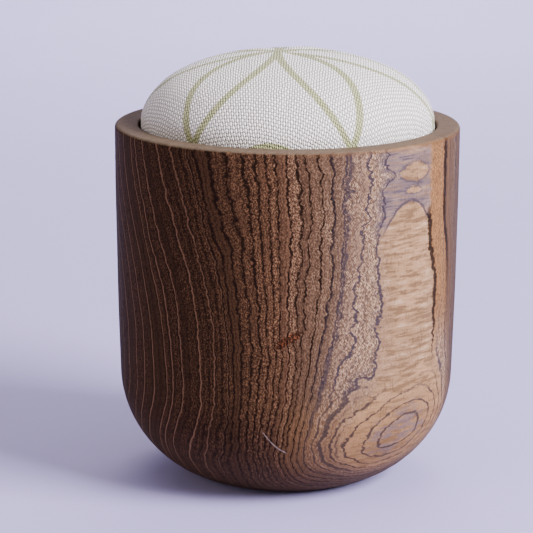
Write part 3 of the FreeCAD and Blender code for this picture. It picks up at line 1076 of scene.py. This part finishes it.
def make_cover():
    line = cover_line()
    path = Path(line)
    total = path.lengths[-1]
    dome_length = Path(line[:DOME_STEPS + 1]).lengths[-1]
    grid, faces = disc_grid(CLOTH_RINGS)
    start, flat = cover_points(grid, path, total, dome_length)
    cover = mesh_object("cover", start, faces, linen_material())
    held = [reach * total > dome_length * 1.3 for reach, _ in grid]
    settled = let_go(cover, start, held)
    start = [kept_close(place, before) for place, before in zip(settled, start)]
    for vertex, place, (reach, angle) in zip(cover.data.vertices, start, grid):
        vertex.co = place + around(pucker(angle, reach * total, dome_length), angle, 0)
    attribute = cover.data.attributes.new(CLOTH_ATTRIBUTE, "FLOAT_VECTOR", "POINT")
    attribute.data.foreach_set("vector", [value for place in flat for value in place])
    finer = cover.modifiers.new("finer", "SUBSURF")
    finer.levels = finer.render_levels = 1
    thickness = cover.modifiers.new("thickness", "SOLIDIFY")
    thickness.thickness = CLOTH
    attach(cover, "cushion")
    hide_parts("cushion_cover")


def make_filling():
    """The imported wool."""
    edge = 2 * MM
    section = [(0, STUFFING_LOW.z)]
    section += arc(STUFFING_HIGH.x - edge, STUFFING_LOW.z + edge, edge, -90, 0, 5)
    section += reversed(quarter_oval(STUFFING_HIGH.x, STUFFING_HIGH.z, 30))

    def tufts(point, outward):
        clump = noise.fractal(point * 160, 1.0, 2.0, 4) * 0.55 * MM
        return point + outward * (clump - 0.45 * MM)

    material = fibre_material("wool_fibre", *WOOL_FIBRE)
    wool = lathe("wool", divided(section, FIBRE_STEP), FIBRE_SEGMENTS, tufts, material)
    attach(wool, "cushion")
    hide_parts("stuffing")


def make_wadding():
    """An open shell of wadding between the wool and the cloth, drawn thin over the board's edge."""
    gap, fluff_room = 0.1 * MM, 0.15 * MM
    inner_r, side, board_top = STUFFING_HIGH.x + gap, BOARD_HIGH.x + gap, BOARD_HIGH.z + gap
    section = quarter_oval(inner_r, STUFFING_HIGH.z + gap, 40) + [(inner_r, board_top), (side, board_top)]
    section += [(side, BOARD_LOW.z + 0.9 * MM), (NECK_RADIUS - 0.9 * MM, BOARD_LOW.z + 1.6 * MM)]
    section.append((NECK_RADIUS - 0.8 * MM, NECK_HEIGHT))
    section += reversed(quarter_oval(WADDING_HIGH.x - fluff_room, WADDING_HIGH.z - fluff_room, 40))

    def fluff(point, outward):
        return point + outward * (noise.fractal(point * 260, 1.0, 2.0, 3) * 0.10 - 0.06) * MM

    material = fibre_material("cotton_fibre", *COTTON_FIBRE)
    wadding = lathe("batting", divided(section, FIBRE_STEP), FIBRE_SEGMENTS, fluff, material)
    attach(wadding, "cushion")
    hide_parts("wadding")


def make_board():
    """The plywood disc that the cloth is drawn over."""
    section = disc_section(BOARD_HIGH.x, BOARD_LOW.z, BOARD_HIGH.z, 0.5 * MM)

    def sawn(point, outward):
        return point + outward * (noise.noise(point * 400) * 0.04 - 0.04) * MM

    board = lathe("ply_disc", divided(section, 1.2 * MM), DISC_SEGMENTS, sawn, plywood_material())
    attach(board, "cushion")
    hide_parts("base_board")


def make_backing():
    """The felt disc under the board. Its rim lies over the gathers, and its middle is up on the board."""
    thickness = 1.2 * MM
    lift = FELT_HIGH.z - thickness - FELT_LOW.z

    def dish(reach):
        return lift * (1 - smooth_step(FELT_HIGH.x - 3.2 * MM, FELT_HIGH.x - 1.6 * MM, reach))

    wool = felt_material("backing_wool", *BACKING_WOOL)
    backing = felt_disc("backing", FELT_HIGH.x, FELT_LOW.z, FELT_LOW.z + thickness, wool, dish)
    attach(backing, "cushion")
    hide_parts("underside_felt")


def strands(path, radius, closed):
    """A two ply thread along a path, as two tubes laid round each other."""
    shapes = []
    lengths = travelled(path)
    turns = max(1, round(lengths[-1] / TWIST))
    for phase in (0.0, math.pi):
        line = []
        side = Vector((0, 0, 1))
        for index, centre in enumerate(path):
            along = direction(path, index, closed)
            side = (side - along * side.dot(along)).normalized()
            angle = FULL_TURN * turns * lengths[index] / lengths[-1] + phase
            outward = side * math.cos(angle) + along.cross(side) * math.sin(angle)
            line.append(centre + outward * radius * 0.5)
        shapes.append(tube(line, radius * 0.52, 8, closed))
    return shapes


def make_thread():
    """The drawn ring, which dips into each fold, and its knot with two cut tails."""
    middle = (THREAD_LOW.z + THREAD_HIGH.z) / 2
    height = COVER_UNDERSIDE - GATHER_DROP * (GATHER_START - THREAD_RING) / (GATHER_START - FELT_HIGH.x)
    ring = []
    for step in range(RING_STEPS):
        angle = FULL_TURN * step / RING_STEPS
        dip = 0.9 * FOLD_DEPTH * pleat(angle) + 0.1 * MM
        ring.append(around(THREAD_RING, angle, height - dip))
    knot_centre = Vector((THREAD_RING + 0.9 * MM, 0, middle))
    knot = []
    for step in range(KNOT_STEPS + 1):
        t = FULL_TURN * step / KNOT_STEPS
        x = (math.sin(t) + 2 * math.sin(2 * t)) / 3
        y = (math.cos(t) - 2 * math.cos(2 * t)) / 3
        knot.append(knot_centre + Vector((x * 0.85, y * 0.85, math.sin(3 * t) * 0.35)) * MM)
    shapes = strands(ring, THREAD_RADIUS, True) + strands(knot, THREAD_RADIUS * 0.75, False)
    for side, length in TAILS:
        tail = []
        for step in range(TAIL_STEPS + 1):
            share = step / TAIL_STEPS
            angle = math.radians(side * (8 + 26 * share))
            lift = (0.25 * math.sin(share * 3.0) - 0.2 * share) * MM
            tail.append(knot_centre + around(length * share * MM, angle, lift))
        shapes += strands(tail, THREAD_RADIUS * 0.8, False)
    thread = joined("drawn_thread", shapes, thread_material())
    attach(thread, "cushion")
    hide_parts("gathering_thread")


make_camera()
make_studio()
make_floor()
make_cup()
make_foot()
make_board()
make_filling()
make_wadding()
make_cover()
make_thread()
make_backing()
